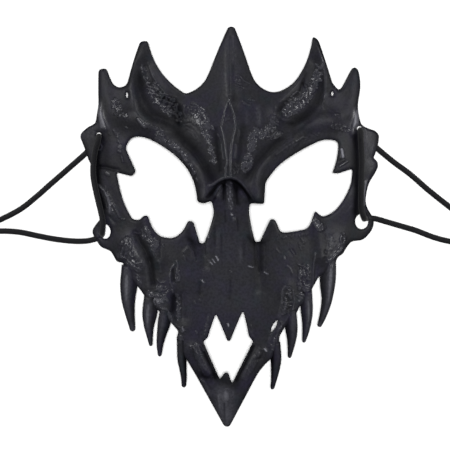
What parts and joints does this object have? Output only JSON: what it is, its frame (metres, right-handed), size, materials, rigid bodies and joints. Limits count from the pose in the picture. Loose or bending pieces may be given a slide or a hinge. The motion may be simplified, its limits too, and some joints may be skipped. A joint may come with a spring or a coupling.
{
  "type": "skull mask",
  "caption": "Black moulded monster-skull half mask with a spiked crown, open eyes, fangs and a pointed jaw, on two tied loops of round elastic.",
  "frame": {"origin": "centre of the mask's bounding box, on the surface that it lies on", "axes": "+Z out of the face, away from the wearer; +Y up the face to the crown's spikes; +X to the right as the face is looked at"},
  "size_m": [0.359, 0.2398, 0.0618],
  "materials": {
    "moulded_plastic": "satin black with glossy raised relief",
    "braided_elastic": "matt black braid"
  },
  "bodies": {
    "root": {"mask_shell": "moulded_plastic", "elastic_left": "braided_elastic", "elastic_right": "braided_elastic", "knot_left": "braided_elastic", "knot_right": "braided_elastic"}
  },
  "joints": []
}
